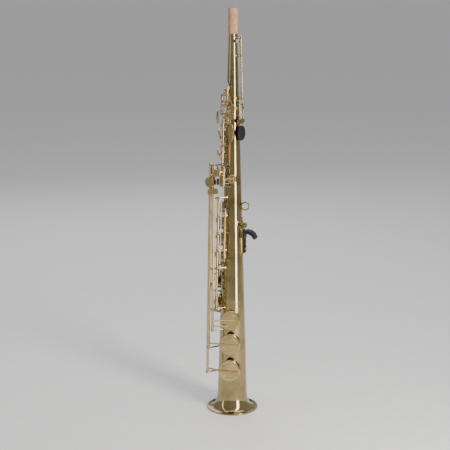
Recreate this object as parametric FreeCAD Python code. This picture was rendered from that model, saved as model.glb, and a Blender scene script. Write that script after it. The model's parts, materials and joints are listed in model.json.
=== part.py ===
"""Straight one-piece soprano saxophone, in millimetres.

Frame: the origin is the centre of the bell rim's resting face. +Z runs up the bore to the
cork, -X is the front (the stack of main keys), +X the back (thumb side), -Y the player's left.
Angles about the bore are in degrees: 0 is +X, 90 is +Y, 180 is the front, 270 the player's left.
"""
import FreeCAD, Part
import math
import os

Vector = FreeCAD.Vector

# ---- driving dimensions of the tube -------------------------------------------------
OVERALL_LENGTH = 650.0
CORK_LENGTH = 38.7
CORK_RADIUS = 7.5
CONE_SLOPE = 0.030            # radius gained per millimetre towards the bell
CONE_REFERENCE_Z = 571.0
CONE_REFERENCE_RADIUS = 7.9
WALL = 0.8
TENON_WALL = 0.7
BELL_JOINT_Z = 45.0
FLARE_START_Z = 36.0
FLARE_SQUARENESS = 2.6          # 2 would be an ellipse; more hugs the corner of the flare
FLARE_STEPS = 12
RIM_RADIUS = 42.0
RIM_BEAD_WIDTH = 2.1
RIM_BEAD_HEIGHT = 2.4
RIM_FILLET = 0.9

# ---- driving dimensions of the keywork ----------------------------------------------
ROD_RADIUS = 1.0
ROD_CLEARANCE = 0.05
TUBE_RADIUS = 2.0
SLIM_TUBE_RADIUS = 1.6
CRADLE_CLEARANCE = 0.2
CRADLE_WALL = 0.9
CRADLE_LENGTH = 3.0
COLLAR_LENGTH = 1.6
COLLAR_STEP = 0.35
ROD_OVERRUN = 2.2            # rod past the middle of its end post
END_GAP = 0.15
BALL_RADIUS = 2.5
SLIM_BALL_RADIUS = 2.0
STEM_RADIUS = 1.3
FOOT_RADIUS = 2.8
FOOT_THICKNESS = 1.8
RIB_THICKNESS = 0.8
RIB_WIDTH = 6.5
CHIMNEY_HEIGHT = 2.2
CHIMNEY_WALL = 0.8
CHIMNEY_DEPTH_SHARE = 0.62    # of the tube's radius, where a chimney starts inside the tube
PAD_GAP = 0.10                # pad to tone-hole rim when a key is shut
PAD_THICKNESS = 2.0
CUP_SKIRT = 1.0               # height of the pad left showing below the cup's edge
CUP_WALL = 0.7
CUP_TOP = 1.1
ARM_WIDTH = 2.2
ARM_HEIGHT = 2.0
PLATE_THICKNESS = 1.5
PEARL_RADIUS = 4.4
HOLDER_RADIUS = 5.2
ROLLER_RADIUS = 1.9
ROLLER_AXLE_RADIUS = 0.6

# Tone holes: height, angle about the bore, hole radius.
TONE_HOLES = {
    "low_b_flat": (72.5, 261.0, 15.6),
    "low_b": (117.0, 261.0, 14.9),
    "c_sharp": (155.7, 261.0, 13.9),
    "low_c": (180.0, 165.0, 12.4),
    "e_flat": (214.0, 130.0, 9.4),
    "d": (255.0, 180.0, 9.8),
    "e": (285.0, 180.0, 9.6),
    "f": (312.0, 180.0, 9.2),
    "f_sharp": (339.0, 180.0, 8.6),
    "g_sharp": (386.0, 264.0, 5.0),
    "g": (391.0, 180.0, 7.0),
    "side_b_flat": (408.0, 140.0, 4.2),
    "a": (420.0, 180.0, 5.2),
    "bis": (433.4, 180.0, 3.3),
    "b": (446.0, 180.0, 4.4),
    "side_c": (455.0, 129.0, 3.8),
    "upper_c": (469.0, 180.0, 3.8),
    "palm_d": (484.0, 205.0, 3.5),
    "palm_e_flat": (503.0, 205.0, 3.3),
    "side_e": (508.0, 115.0, 3.3),
    "palm_f": (522.0, 205.0, 3.1),
}
# Octave vents: height, angle about the bore.
OCTAVE_VENTS = {"upper": (600.0, 303.0), "lower": (497.0, 286.0)}
VENT_HOLE_RADIUS = 0.8
VENT_PIP_RADIUS = 2.1
VENT_PIP_HEIGHT = 2.6


# ---- places ---------------------------------------------------------------------------
def body_radius(z):
    return CONE_REFERENCE_RADIUS + CONE_SLOPE * (CONE_REFERENCE_Z - z)


def outward(angle):
    return Vector(math.cos(math.radians(angle)), math.sin(math.radians(angle)), 0)


def tangent(angle):
    return outward(angle + 90)


def place(distance, angle, z):
    point = outward(angle) * distance
    point.z = z
    return point


def unit(vector):
    return vector * (1.0 / vector.Length)


class HingeLine:
    """The straight axis of one steel hinge rod, given by a point at each of two heights."""

    def __init__(self, low, high):
        self.low = low
        self.direction = unit(high - low)

    def at(self, z):
        return self.low + self.direction * ((z - self.low.z) / self.direction.z)


def cone_line(angle, height):
    """A hinge line that keeps the same height above the cone along its length."""
    return HingeLine(place(body_radius(200) + height, angle, 200),
                     place(body_radius(500) + height, angle, 500))


class ToneHole:
    """Local frame of a tone hole: normal out of the tube, across it, and along it."""

    def __init__(self, z, angle, radius, margin=2.0):
        slope = math.atan(CONE_SLOPE)
        self.z = z
        self.radius = radius
        self.cup_radius = radius + margin
        self.pad_radius = self.cup_radius - CUP_WALL
        self.normal = outward(angle) * math.cos(slope) + Vector(0, 0, math.sin(slope))
        self.across = tangent(angle)
        self.surface = place(body_radius(z), angle, z)
        self.rim = self.surface + self.normal * CHIMNEY_HEIGHT
        self.seat = self.rim + self.normal * PAD_GAP
        self.cup_height = PAD_THICKNESS + CUP_TOP
        self.top = self.seat + self.normal * self.cup_height


LOW_KEY_MARGIN = 2.6
LOW_KEYS = ("low_b_flat", "low_b", "c_sharp", "low_c")
HOLES = {name: ToneHole(*sizes, margin=LOW_KEY_MARGIN if name in LOW_KEYS else 2.0)
         for name, sizes in TONE_HOLES.items()}

# ---- hinge lines ----------------------------------------------------------------------
LINES = {
    "lower_stack": cone_line(215.0, 12.7),
    "upper_stack": cone_line(221.0, 8.8),
    "low_b_flat": HingeLine(Vector(-41.3, -15.5, 66), Vector(-35.5, -13.0, 400)),
    "low_b": HingeLine(Vector(-38.9, -21.0, 109), Vector(-34.0, -18.0, 400)),
    "c_sharp": HingeLine(Vector(-32.7, -24.5, 140), Vector(-29.5, -21.5, 400)),
    "g_sharp": cone_line(232.0, 10.5),
    "articulation": cone_line(238.5, 8.4),
    "palm": cone_line(238.0, 6.8),
    "front_f": cone_line(165.0, 8.0),
    "side_b_flat": cone_line(116.0, 5.6),
    "side_c": cone_line(102.0, 5.6),
    "side_e": cone_line(88.0, 5.6),
    "e_flat": cone_line(160.0, 7.2),
    "octave_upper": cone_line(325.0, 8.3),
    "octave_lower": cone_line(309.0, 6.6),
    "octave_thumb": cone_line(352.0, 6.4),
}


# ---- solid builders -------------------------------------------------------------------
def cylinder(start, end, radius):
    return Part.makeCylinder(radius, (end - start).Length, start, unit(end - start))


def ball(centre, radius):
    return Part.makeSphere(radius, centre)


def join(shapes):
    """Fuse a list of shapes one after another."""
    whole = shapes[0]
    for shape in shapes[1:]:
        whole = whole.fuse(shape)
    return whole


def solids_of(shape):
    return shape.Solids if shape.Solids else [shape]


def largest_solid(shape):
    return max(solids_of(shape), key=lambda solid: solid.Volume)


def turned(profile, base, axis):
    """Solid of revolution. The profile is a list of (radius, height) points about base + axis."""
    side = unit(axis.cross(Vector(0.3, 0.5, 0.81)))
    corners = [base + side * radius + axis * height for radius, height in profile]
    outline = Part.makePolygon(corners + corners[:1])
    return Part.Face(outline).revolve(base, axis, 360)


def ridge_bar(start, end, up, width=ARM_WIDTH, height=ARM_HEIGHT):
    """Straight bar with a flat underside and a ridged top; start and end lie on its centre."""
    along = unit(end - start)
    side = unit(along.cross(up))
    lift = unit(side.cross(along))
    outline = ((-0.5, -0.5), (0.5, -0.5), (0.5, 0.1), (0.16, 0.5), (-0.16, 0.5), (-0.5, 0.1))
    corners = [start + side * (width * x) + lift * (height * y) for x, y in outline]
    return Part.Face(Part.makePolygon(corners + corners[:1])).extrude(end - start)


def bar_chain(points, up, width=ARM_WIDTH, height=ARM_HEIGHT):
    """Ridge bars along a path, with a round knuckle at each bend."""
    pieces = [ridge_bar(a, b, up, width, height) for a, b in zip(points, points[1:])]
    pieces += [ball(point, min(width, height) * 0.55) for point in points[1:-1]]
    return pieces


def oval_plate(centre, normal, long_axis, half_length, half_width, thickness=PLATE_THICKNESS):
    """Oval touch plate with softened edges; centre is the middle of its thickness."""
    normal = unit(normal)
    long_axis = unit(long_axis - normal * long_axis.dot(normal))
    base = centre - normal * (thickness / 2)
    short_axis = normal.cross(long_axis)
    rim = Part.Ellipse(base + long_axis * half_length, base + short_axis * half_width, base)
    plate = Part.Face(Part.Wire(rim.toShape())).extrude(normal * thickness)
    return plate.makeFillet(thickness * 0.35, plate.Edges[:1] + plate.Edges[2:])


def round_plate(centre, normal, long_axis, length, width, corner, thickness=PLATE_THICKNESS):
    """Rounded rectangular touch plate; centre is the middle of its thickness."""
    normal = unit(normal)
    long_axis = unit(long_axis - normal * long_axis.dot(normal))
    side = normal.cross(long_axis)
    base = centre - normal * (thickness / 2)
    half_length = length / 2
    half_width = width / 2
    edges = []
    corners = ((1, 1), (-1, 1), (-1, -1), (1, -1))
    arcs = []
    for x, y in corners:
        middle = base + long_axis * (x * (half_length - corner)) + side * (y * (half_width - corner))
        ends = [middle + long_axis * (x * corner), middle + side * (y * corner)]
        if x * y < 0:
            ends.reverse()
        peak = middle + unit(long_axis * x + side * y) * corner
        arcs.append((ends[0], peak, ends[1]))
    for index, (start, peak, end) in enumerate(arcs):
        edges.append(Part.Arc(start, peak, end).toShape())
        edges.append(Part.LineSegment(end, arcs[(index + 1) % 4][0]).toShape())
    plate = Part.Face(Part.Wire(edges)).extrude(normal * thickness)
    rounded = [edge for edge in plate.Edges if abs((edge.Vertexes[0].Point - base).dot(normal)
                                                   - (edge.Vertexes[-1].Point - base).dot(normal)) < 1e-6]
    return plate.makeFillet(thickness * 0.3, rounded)


# ---- tube, bell and cork --------------------------------------------------------------
def cone_between(z_low, z_high, offset):
    return Part.makeCone(body_radius(z_low) + offset, body_radius(z_high) + offset, z_high - z_low,
                         Vector(0, 0, z_low), Vector(0, 0, 1))


TUBE_TOP = OVERALL_LENGTH - CORK_LENGTH

# Heights of the joints between the short lengths the tube wall is laid down in.
TUBE_LEVELS = (55, 90, 99, 136, 139, 173, 188, 198, 236, 246, 270,
               298, 325, 352, 374, 399, 427, 462, 500, 545, 580)

OUTER_CONE = cone_between(-5.0, TUBE_TOP, 0.0)
TENON = cone_between(TUBE_TOP, OVERALL_LENGTH, TENON_WALL - WALL)


def chimney_start(hole):
    """A point on the hole's axis, inside the bore."""
    return hole.surface - hole.normal * (body_radius(hole.z) * CHIMNEY_DEPTH_SHARE)


def chimney(hole):
    return cylinder(chimney_start(hole), hole.rim, hole.radius + CHIMNEY_WALL)


def body_tube():
    """One tapered tube with drawn tone holes; its wall is laid down in short lengths."""
    levels = [BELL_JOINT_Z, *TUBE_LEVELS, TUBE_TOP]
    outer = [cone_between(low, high, 0.0) for low, high in zip(levels, levels[1:])] + [TENON]
    levels = [BELL_JOINT_Z - 1, *TUBE_LEVELS, OVERALL_LENGTH + 1]
    inner = [cone_between(low, high, -WALL) for low, high in zip(levels, levels[1:])]
    for hole in HOLES.values():
        outer.append(chimney(hole))
        inner.append(cylinder(chimney_start(hole) - hole.normal, hole.rim + hole.normal, hole.radius))
    for z, angle in OCTAVE_VENTS.values():
        start = place(body_radius(z) * 0.7, angle, z)
        inner.append(cylinder(start, place(body_radius(z) + 1, angle, z), VENT_HOLE_RADIUS))
    return outer[0].fuse(outer[1:]).cut(inner)


def flare(offset):
    """Squared-off quarter oval from the cone's end to the rim, moved towards the bore by offset."""
    centre = Vector(RIM_RADIUS - 0.3, 0, FLARE_START_Z)
    across = centre.x - body_radius(FLARE_START_Z) + offset
    down = FLARE_START_Z - 1.5 + offset
    power = 2.0 / FLARE_SQUARENESS
    reach = math.acos(((centre.x - RIM_RADIUS + RIM_BEAD_WIDTH) / across) ** (1.0 / power))
    points = []
    for step in range(FLARE_STEPS + 1):
        turn = reach * step / FLARE_STEPS
        points.append(centre - Vector(across * math.cos(turn) ** power, 0, down * math.sin(turn) ** power))
    spline = Part.BSplineCurve()
    spline.interpolate(points)
    return spline, points[0], points[-1]


def bell():
    outer, outer_start, outer_end = flare(0.0)
    inner, inner_start, inner_end = flare(WALL)
    joint_out = Vector(body_radius(BELL_JOINT_Z), 0, BELL_JOINT_Z)
    joint_in = joint_out - Vector(WALL, 0, 0)
    edges = [Part.LineSegment(joint_out, outer_start).toShape(), outer.toShape(),
             Part.LineSegment(outer_end, inner_end).toShape(), inner.toShape(),
             Part.LineSegment(inner_start, joint_in).toShape(),
             Part.LineSegment(joint_in, joint_out).toShape()]
    outline = Part.Wire(Part.__sortEdges__(edges))
    return Part.Face(outline).revolve(Vector(0, 0, 0), Vector(0, 0, 1), 360)


def bell_rim():
    """Rolled rim bead with a flat resting face underneath."""
    inside = RIM_RADIUS - RIM_BEAD_WIDTH
    bead = Part.makeCylinder(RIM_RADIUS, RIM_BEAD_HEIGHT).cut(Part.makeCylinder(inside, RIM_BEAD_HEIGHT))
    outer_edges = [edge for edge in bead.Edges
                   if edge.Curve.TypeId == "Part::GeomCircle" and edge.Curve.Radius > RIM_RADIUS - 0.1]
    return bead.makeFillet(RIM_FILLET, outer_edges)


def neck_cork():
    cork = Part.makeCylinder(CORK_RADIUS, CORK_LENGTH, Vector(0, 0, TUBE_TOP))
    return cork.cut(TENON)


def octave_pips():
    pips = []
    for z, angle in OCTAVE_VENTS.values():
        surface = place(body_radius(z), angle, z)
        out = outward(angle)
        pip = cylinder(surface - out, surface + out * VENT_PIP_HEIGHT, VENT_PIP_RADIUS)
        bore = cylinder(surface - out * 2, surface + out * (VENT_PIP_HEIGHT + 2), VENT_HOLE_RADIUS)
        pips.append(pip.cut([OUTER_CONE, bore]))
    return pips


# ---- posts, ribs and rods -------------------------------------------------------------
CHIMNEYS = [chimney(hole) for hole in HOLES.values()]
ROD_SPANS = {}


def note_span(line_name, z):
    low, high = ROD_SPANS.get(line_name, (z, z))
    ROD_SPANS[line_name] = (min(low, z), max(high, z))


def stem_and_foot(head, foot_angle):
    foot = place(body_radius(head.z) - 0.5, foot_angle, head.z)
    along = unit(head - foot)
    flange = cylinder(foot, foot + along * FOOT_THICKNESS, FOOT_RADIUS)
    return cylinder(foot, head, STEM_RADIUS).fuse(flange)


def post(line_name, z, foot_angle, radius=BALL_RADIUS):
    """Ball-headed post standing on the tube, drilled for its rod."""
    note_span(line_name, z)
    line = LINES[line_name]
    head = line.at(z)
    hole = cylinder(head - line.direction * 6, head + line.direction * 6, ROD_RADIUS)
    return ball(head, radius).fuse(stem_and_foot(head, foot_angle)).cut([hole, OUTER_CONE] + CHIMNEYS)


def ring_round(line_name, z, tube_radius):
    line = LINES[line_name]
    middle = line.at(z)
    half = line.direction * (CRADLE_LENGTH / 2)
    return cylinder(middle - half, middle + half, tube_radius + CRADLE_CLEARANCE + CRADLE_WALL)


def passage(line_name, z, radius):
    line = LINES[line_name]
    middle = line.at(z)
    return cylinder(middle - line.direction * 9, middle + line.direction * 9, radius)


def cradle(line_name, z, foot_angle, tube_radius=TUBE_RADIUS):
    """Ring-headed post that steadies a long key tube and lets it turn."""
    head = LINES[line_name].at(z)
    ring = ring_round(line_name, z, tube_radius)
    clear = passage(line_name, z, tube_radius + CRADLE_CLEARANCE)
    return ring.fuse(stem_and_foot(head, foot_angle)).cut([clear, OUTER_CONE] + CHIMNEYS)


LOW_RODS = ("c_sharp", "low_b", "low_b_flat")


def low_rod_bracket(z, anchor, foot_angle, held_rods, ball_heads=False):
    """Post of a stack rod with a bar that carries the long low-key rods beside it."""
    heads = [LINES[anchor].at(z)] + [LINES[name].at(z) for name in held_rods]
    solid = ball(heads[0], BALL_RADIUS).fuse(stem_and_foot(heads[0], foot_angle))
    cuts = [OUTER_CONE] + CHIMNEYS
    cuts.append(passage(anchor, z, ROD_RADIUS))
    note_span(anchor, z)
    bars = [cylinder(a, b, STEM_RADIUS) for a, b in zip(heads, heads[1:])]
    for name in held_rods:
        if ball_heads:
            note_span(name, z)
            bars.append(ball(LINES[name].at(z), BALL_RADIUS))
            cuts.append(passage(name, z, ROD_RADIUS))
        else:
            bars.append(ring_round(name, z, TUBE_RADIUS))
            cuts.append(passage(name, z, TUBE_RADIUS + CRADLE_CLEARANCE))
    return solid.fuse(bars).cut(cuts)


LOWER_POSTS = (326.5, 298.5, 270.5)
UPPER_POSTS = (477.5, 438.4, 378.3)
LOW_BRACKETS = (356.0, 241.5, 174.6)
TOP_BRACKET_Z = 408.8


def stack_posts():
    posts = [post("lower_stack", z, 230) for z in LOWER_POSTS]
    posts += [post("upper_stack", z, 234) for z in UPPER_POSTS]
    posts += [low_rod_bracket(z, "lower_stack", 230, LOW_RODS) for z in LOW_BRACKETS]
    posts.append(low_rod_bracket(TOP_BRACKET_Z, "upper_stack", 234, LOW_RODS, ball_heads=True))
    return posts


def low_key_posts():
    return [post("low_b_flat", 66.0, 196), post("low_b", 109.0, 206), post("c_sharp", 140.2, 240)]


def left_side_posts():
    posts = [post("g_sharp", z, 251, SLIM_BALL_RADIUS) for z in (404.2, 374.4)]
    posts += [post("articulation", z, 254, SLIM_BALL_RADIUS) for z in (336.5, 256.0)]
    posts.append(cradle("articulation", 300.0, 254, SLIM_TUBE_RADIUS))
    posts += [post("palm", z, 246, SLIM_BALL_RADIUS) for z in (533.5, 471.2)]
    return posts


def right_side_posts():
    posts = []
    ends = {"side_b_flat": (417.5, 301.5), "side_c": (463.5, 323.5), "side_e": (516.5, 346.5)}
    feet = {"side_b_flat": 116, "side_c": 102, "side_e": 88}
    for name, heights in ends.items():
        posts += [post(name, z, feet[name], SLIM_BALL_RADIUS) for z in heights]
    posts.append(cradle("side_b_flat", 364.0, 116, SLIM_TUBE_RADIUS))
    posts.append(cradle("side_c", 395.0, 102, SLIM_TUBE_RADIUS))
    posts.append(cradle("side_e", 432.0, 88, SLIM_TUBE_RADIUS))
    posts += [post("e_flat", z, 158) for z in (241.0, 203.4)]
    posts += [post("front_f", z, 165, SLIM_BALL_RADIUS) for z in (516.0, 487.0)]
    return posts


def octave_posts():
    posts = [post("octave_upper", z, 325, SLIM_BALL_RADIUS) for z in (605.5, 512.0)]
    posts.append(cradle("octave_upper", 578.0, 325, SLIM_TUBE_RADIUS))
    posts += [post("octave_lower", z, 309, SLIM_BALL_RADIUS) for z in (506.0, 483.0)]
    posts += [post("octave_thumb", z, 352, SLIM_BALL_RADIUS) for z in (502.0, 473.0)]
    return posts


RIBS = ((234.0, 374.0, 482.0), (230.0, 171.2, 360.0), (102.0, 318.0, 470.0))


def ribs():
    """Curved strips soldered to the tube under rows of posts."""
    strips = []
    for angle, z_low, z_high in RIBS:
        shell = cone_between(z_low, z_high, RIB_THICKNESS).cut(OUTER_CONE)
        block = Part.makeBox(60, RIB_WIDTH, z_high - z_low, Vector(0, -RIB_WIDTH / 2, z_low))
        block.rotate(Vector(0, 0, 0), Vector(0, 0, 1), angle)
        strips += solids_of(shell.common(block).cut(CHIMNEYS))
    return [strip for strip in strips if strip.Volume > 20]


def hinge_rods():
    rods = []
    for name, (low, high) in ROD_SPANS.items():
        line = LINES[name]
        rods.append(cylinder(line.at(low - ROD_OVERRUN), line.at(high + ROD_OVERRUN), ROD_RADIUS))
    return rods


# ---- keys -----------------------------------------------------------------------------
class Key:
    """A key, drawn shut: tube on its hinge line, arms, cups and touches, then set to rest."""

    def __init__(self, line_name, z_low, z_high, tube_radius=TUBE_RADIUS):
        self.line_name = line_name
        self.line = LINES[line_name]
        self.z_low = z_low
        self.z_high = z_high
        start = self.line.at(z_low + END_GAP)
        end = self.line.at(z_high - END_GAP)
        self.bore = cylinder(start - self.line.direction, end + self.line.direction,
                             ROD_RADIUS + ROD_CLEARANCE)
        collar = self.line.direction * COLLAR_LENGTH
        self.metal = [cylinder(start, end, tube_radius)]
        self.metal += [cylinder(end - collar, end, tube_radius + COLLAR_STEP),
                       cylinder(start, start + collar, tube_radius + COLLAR_STEP)]
        self.cuts = [self.bore]
        self.inserts = []
        self.pads = []
        self.turn_degrees = 0.0
        self.travel_sign = 1.0

    def cup(self, hole_name, lift, arm_z=None, opens=False, arm_width=ARM_WIDTH):
        """Pad cup over a tone hole with its arm. lift is the pad's travel at its centre."""
        hole = HOLES[hole_name]
        rim = hole.cup_radius
        profile = [(0, CUP_SKIRT), (rim, CUP_SKIRT), (rim, PAD_THICKNESS + CUP_TOP * 0.25),
                   (rim - 0.5, PAD_THICKNESS + CUP_TOP * 0.75), (rim - 1.3, hole.cup_height),
                   (0, hole.cup_height)]
        self.metal.append(turned(profile, hole.seat, hole.normal))
        pad = cylinder(hole.seat, hole.seat + hole.normal * PAD_THICKNESS, hole.pad_radius)
        self.cuts.append(pad)
        self.pads.append(pad)
        height = hole.z if arm_z is None else arm_z
        hinge = self.line.at(height)
        crown = hole.top + hole.normal * (ARM_HEIGHT * 0.3)
        sense = 1.0 if (crown - hinge).dot(hole.across) > 0 else -1.0
        reach = hole.across * (rim * 0.86 * sense)
        self.metal += bar_chain([hinge, crown - reach, crown + reach], hole.normal, arm_width)
        distance = abs((hole.top - hinge).dot(hole.across))
        self.turn_degrees = math.degrees(lift / distance)
        swing = self.line.direction.cross(hole.seat - hinge)
        opening = 1.0 if swing.dot(hole.normal) > 0 else -1.0
        self.travel_sign = opening if opens else -opening
        self.rest_turn = 0.0 if opens else opening * self.turn_degrees

    def pearl(self, centre, normal):
        """Pearl in a brass holder; centre is on the pearl's underside."""
        holder = cylinder(centre - normal * 1.2, centre + normal * 1.1, HOLDER_RADIUS)
        disc = turned([(0, 0), (PEARL_RADIUS, 0), (PEARL_RADIUS, 1.2), (PEARL_RADIUS - 0.7, 1.7),
                       (0, 1.3)], centre, normal)
        self.metal.append(holder)
        self.cuts.append(disc)
        self.inserts.append(disc)

    def path(self, points, up, width=ARM_WIDTH, height=ARM_HEIGHT):
        self.metal += bar_chain(points, up, width, height)

    def set_lever(self, touch_point, degrees):
        """A key with no cup: it turns so that the touch goes towards the tube."""
        swing = self.line.direction.cross(touch_point - self.line.at(touch_point.z))
        self.travel_sign = -1.0 if swing.dot(outward_of(touch_point)) > 0 else 1.0
        self.turn_degrees = degrees
        self.rest_turn = 0.0

    def finish(self):
        self.metal = [join(self.metal).cut(self.cuts)]
        for shapes in (self.metal, self.inserts, self.pads):
            for shape in shapes:
                shape.rotate(self.line.low, self.line.direction, self.rest_turn)
        return self


def outward_of(point):
    return unit(Vector(point.x, point.y, 0))


def stack_key(line, z_low, z_high, hole_name, lift, pearl_z=None, pearl_angle=157.0):
    key = Key(line, z_low, z_high)
    key.cup(hole_name, lift)
    if pearl_z is not None:
        hole = HOLES[hole_name]
        crown = hole.top + hole.normal * 0.6
        normal = outward(170)
        centre = place(body_radius(pearl_z) + 9.6, pearl_angle, pearl_z)
        key.path([crown, centre - normal * 0.6], hole.normal, 2.6)
        key.pearl(centre, normal)
    return key.finish()


def palm_key(z_low, z_high, hole_name, touch_angle, touch_z, half_length, rise=11.0):
    """Left-palm key: an oval touch on the player's left lifts a small cup at the front left."""
    key = Key("palm", z_low, z_high, SLIM_TUBE_RADIUS)
    key.cup(hole_name, 2.0, opens=True)
    normal = outward(touch_angle)
    touch = place(body_radius(touch_z) + rise, touch_angle, touch_z)
    start_z = (z_low + z_high) / 2 - 4
    corner = place(body_radius(start_z) + rise, (238 + touch_angle) / 2, start_z)
    end = touch + Vector(0, 0, half_length * 0.7)
    key.path([key.line.at(start_z), corner, end], normal)
    key.metal.append(oval_plate(touch, normal, Vector(0, 0, 1), half_length, 4.2))
    return key.finish()


def side_key(line, z_low, z_high, hole_name, touch_angle, touch_length):
    """Long right-side key: a touch by the right hand lifts a cup high on the tube."""
    key = Key(line, z_low, z_high, SLIM_TUBE_RADIUS)
    key.cup(hole_name, 2.2, opens=True)
    touch_z = z_low + touch_length / 2 + 1
    normal = outward(touch_angle)
    touch = place(body_radius(touch_z) + 11.5, touch_angle, touch_z)
    key.path([key.line.at(touch_z), touch], normal)
    key.metal.append(round_plate(touch, normal, Vector(0, 0, 1), touch_length, 8.0, 2.5))
    return key.finish()


def roller(centre, along, length):
    """Roller with a running bore, the axle it turns on, and ears at both ends of the axle."""
    along = unit(along)
    half = along * (length / 2)
    barrel = cylinder(centre - half, centre + half, ROLLER_RADIUS)
    barrel = barrel.makeFillet(0.5, [edge for edge in barrel.Edges
                                     if edge.Curve.TypeId == "Part::GeomCircle"])
    axle_half = along * (length / 2 + 1.2)
    bore = cylinder(centre - axle_half, centre + axle_half, ROLLER_AXLE_RADIUS + ROD_CLEARANCE)
    axle = cylinder(centre - axle_half, centre + axle_half, ROLLER_AXLE_RADIUS)
    ear_gap = along * (length / 2 + 0.2)
    ears = [cylinder(centre + ear_gap, centre + ear_gap + along, 1.3),
            cylinder(centre - ear_gap, centre - ear_gap - along, 1.3)]
    return barrel.cut(bore), [axle] + ears


def octave_keys():
    keys = {}
    for name, z_low, z_high in (("upper", 514.2, 603.3), ("lower", 485.2, 503.8)):
        vent_z, vent_angle = OCTAVE_VENTS[name]
        key = Key("octave_" + name, z_low, z_high, SLIM_TUBE_RADIUS)
        normal = outward(vent_angle)
        seat = place(body_radius(vent_z) + VENT_PIP_HEIGHT + PAD_GAP, vent_angle, vent_z)
        key.metal.append(turned([(0, 0.6), (2.9, 0.6), (2.9, 1.8), (2.2, 2.5), (0, 2.5)], seat, normal))
        pad = cylinder(seat, seat + normal * 1.4, 2.3)
        key.cuts.append(pad)
        key.pads.append(pad)
        crown = seat + normal * 2.2
        key.path([key.line.at(vent_z), crown], normal, 1.8, 1.6)
        hinge = key.line.at(vent_z)
        swing = key.line.direction.cross(seat - hinge)
        key.travel_sign = 1.0 if swing.dot(normal) > 0 else -1.0
        key.turn_degrees = math.degrees(1.5 / (seat - hinge).Length)
        key.rest_turn = 0.0
        if name == "upper":
            for z in (555.0, 534.0):
                middle = key.line.at(z)
                key.metal.append(ball(middle, 2.1))
        keys["octave_" + name + "_key"] = key.finish()
    lever = Key("octave_thumb", 475.2, 499.8, SLIM_TUBE_RADIUS)
    touch = place(body_radius(477) + 7.4, 314, 477)
    lever.path([lever.line.at(479), place(body_radius(479) + 8.2, 334, 479), touch], outward(330), 2.4)
    lever.metal.append(round_plate(touch, outward(314), tangent(314), 14.0, 6.4, 2.4))
    tail = place(body_radius(497) + 11.0, 335, 497)
    lever.path([lever.line.at(497), tail], outward(340), 1.8, 1.6)
    lever.set_lever(touch, 5.0)
    keys["octave_thumb_lever"] = lever.finish()
    return keys


def upper_stack_keys():
    return {
        "upper_c_key": stack_key("upper_stack", 464.0, 475.0, "upper_c", 1.8),
        "b_key": stack_key("upper_stack", 441.1, 463.7, "b", 1.8, pearl_z=457.5),
        "bis_key": stack_key("upper_stack", 429.2, 435.7, "bis", 1.6),
        "a_key": stack_key("upper_stack", 411.5, 428.9, "a", 2.0, pearl_z=426.0),
        "g_key": stack_key("upper_stack", 381.0, 406.1, "g", 2.2, pearl_z=400.0),
    }


def lower_stack_keys():
    return {
        "f_sharp_key": stack_key("lower_stack", 329.2, 353.3, "f_sharp", 2.6),
        "f_key": stack_key("lower_stack", 301.2, 323.8, "f", 2.6, pearl_z=314.0, pearl_angle=146.0),
        "e_key": stack_key("lower_stack", 273.2, 295.8, "e", 2.6, pearl_z=287.0, pearl_angle=146.0),
        "d_key": stack_key("lower_stack", 244.2, 267.8, "d", 2.8, pearl_z=257.0, pearl_angle=146.0),
    }


def front_f_key():
    key = Key("front_f", 489.2, 513.8, SLIM_TUBE_RADIUS)
    touch = place(body_radius(481) + 15.0, 160, 481)
    key.path([key.line.at(493), place(body_radius(490) + 14.0, 163, 490), touch], outward(165))
    key.metal.append(oval_plate(touch, outward(164), Vector(0, 0, 1), 11.0, 5.0))
    key.path([key.line.at(512.3), place(body_radius(512.3) + 9.5, 180, 512.3)], outward(175), 1.8, 1.6)
    key.set_lever(place(body_radius(481) + 15.0, 150, 481), 5.0)
    return key.finish()


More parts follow.
